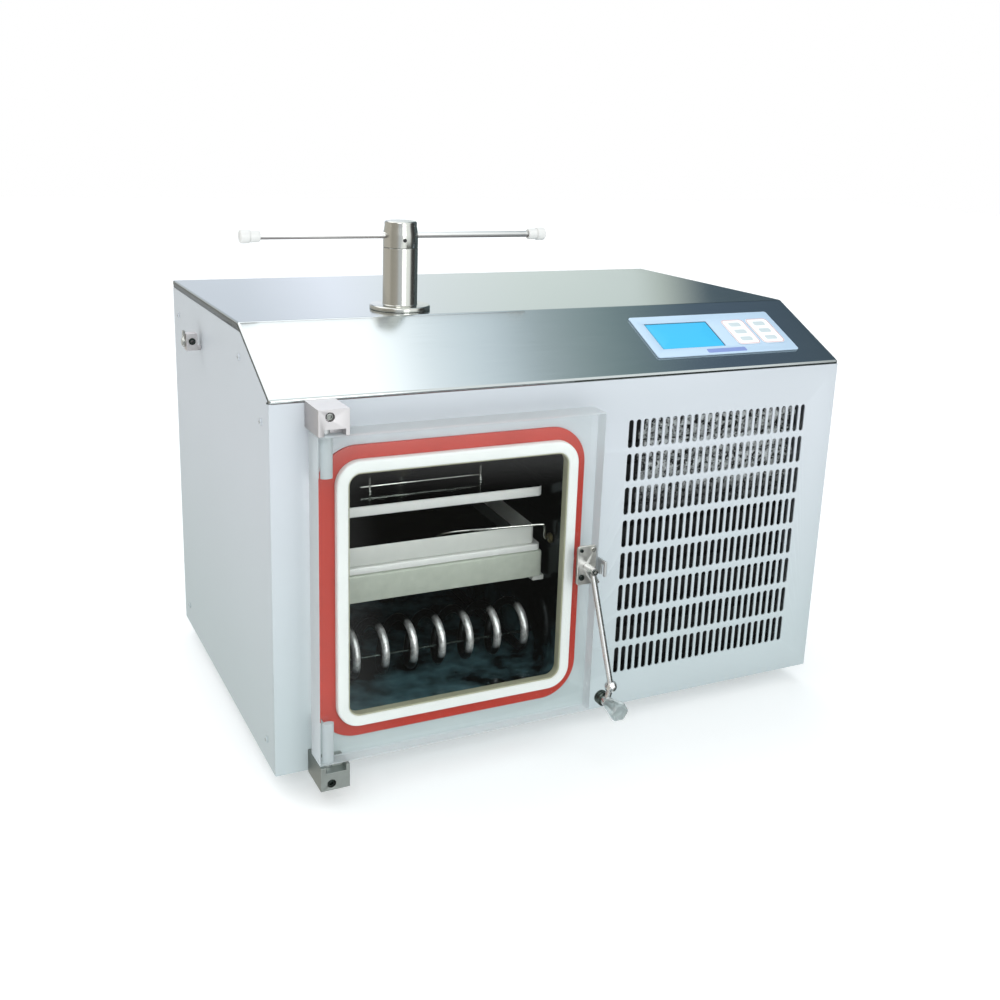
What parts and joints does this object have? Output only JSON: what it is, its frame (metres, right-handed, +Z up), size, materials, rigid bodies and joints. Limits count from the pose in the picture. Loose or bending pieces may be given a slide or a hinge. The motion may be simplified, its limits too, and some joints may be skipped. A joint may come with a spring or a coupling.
{
  "type": "freeze dryer",
  "caption": "Bench-top freeze dryer: clear hinged front door on a steel cold chamber, T-handle stoppering press on top, sloping console and slotted air grille.",
  "frame": {"origin": "middle of the bounding box, on the surface under the feet", "axes": "+X to the right as the front is faced, +Y to the back, +Z up; the front, with the door and the grille, faces -Y"},
  "size_m": [0.7422, 0.5706, 0.5931],
  "materials": {
    "paint": "smooth semi-gloss, cool light grey",
    "cover_steel": "satin, fine grain along the width",
    "stainless": "ground and partly polished",
    "dark_steel": "dark, oiled",
    "acrylic": "clear, polished, faint green edges",
    "white_silicone": "matte white",
    "red_silicone": "matte red",
    "rubber": "matte black",
    "white_plastic": "white, slightly glossy",
    "panel_film": "pale blue printed film",
    "screen": "cyan lit screen",
    "black_plastic": "fine texture",
    "black_enamel": "glossy black",
    "bronze": "turned bronze",
    "aluminium": "plain fins"
  },
  "bodies": {
    "casing": {"base_pan": "paint", "front_panel": "paint", "left_panel": "paint", "right_panel": "paint", "rear_panel": "paint", "top_cover": "cover_steel", "foot_front_left": "rubber", "foot_front_right": "rubber", "foot_rear_left": "rubber", "foot_rear_right": "rubber", "chamber": "stainless", "chamber_cradle": "paint", "front_gasket": "red_silicone", "door_seal": "white_silicone", "shelf_rail_left": "stainless", "shelf_rail_right": "stainless", "shelf": "stainless", "tray_carrier": "stainless", "tray": "stainless", "cold_coil": "stainless", "coil_support": "stainless", "probe_lead": "stainless", "probe_socket": "bronze", "press_column": "stainless", "roof_gland": "bronze", "hinge_block_top": "stainless", "hinge_block_bottom": "stainless", "hinge_pin_top": "stainless", "hinge_pin_bottom": "stainless", "hinge_screw_top": "dark_steel", "hinge_screw_bottom": "dark_steel", "latch_keeper": "stainless", "control_panel": "panel_film", "display": "screen", "keypad_left": "white_plastic", "keypad_right": "white_plastic", "cooler_core": "aluminium", "fan_shroud": "black_plastic", "fan_motor": "black_enamel", "compressor": "black_enamel", "vacuum_port": "stainless", "power_inlet": "black_plastic", "air_valve": "stainless"},
    "door": {"door_plate": "acrylic", "latch_base": "stainless"},
    "latch": {"latch_cam": "stainless", "latch_lever": "stainless", "crank_pin": "dark_steel"},
    "knob": {"latch_knob": "acrylic"},
    "press_handle": {"press_head": "stainless", "press_bar": "stainless", "bar_cap_left": "white_plastic", "bar_cap_right": "white_plastic", "press_screw": "stainless"},
    "press_platen": {"press_plate": "stainless", "press_nut": "bronze", "press_hanger": "stainless"},
    "fan": {"fan_rotor": "black_plastic"},
    "valve_handle": {"valve_lever": "stainless"}
  },
  "joints": [
    {"name": "door_hinge", "type": "hinge", "parent": "casing", "child": "door", "pos_m": [-0.30085, -0.22275, 0.226], "axis": [0, 0, -1], "range_deg": [0, 115]},
    {"name": "latch_turn", "type": "hinge", "parent": "door", "child": "latch", "pos_m": [-0.00385, -0.24975, 0.23], "axis": [0, -1, 0], "range_deg": [0, 50]},
    {"name": "knob_spin", "type": "hinge", "parent": "latch", "child": "knob", "pos_m": [0.02512, -0.26575, 0.06487], "axis": [0, -1, 0], "continuous": true},
    {"name": "press_turn", "type": "hinge", "parent": "casing", "child": "press_handle", "pos_m": [-0.14735, -0.02935, 0.577], "axis": [0, 0, 1], "range_deg": [0, 1800]},
    {"name": "press_lower", "type": "slide", "parent": "casing", "child": "press_platen", "axis": [0, 0, -1], "range_m": [0, 0.0255]},
    {"name": "fan_spin", "type": "hinge", "parent": "casing", "child": "fan", "pos_m": [0.19815, -0.11575, 0.20715], "axis": [0, 1, 0], "continuous": true},
    {"name": "valve_turn", "type": "hinge", "parent": "casing", "child": "valve_handle", "pos_m": [-0.36885, 0.10425, 0.441], "axis": [1, 0, 0], "range_deg": [0, 90]}
  ],
  "couplings": [
    {"joint": "press_lower", "follows": "press_turn", "m_per_rad": 0.00079577}
  ]
}
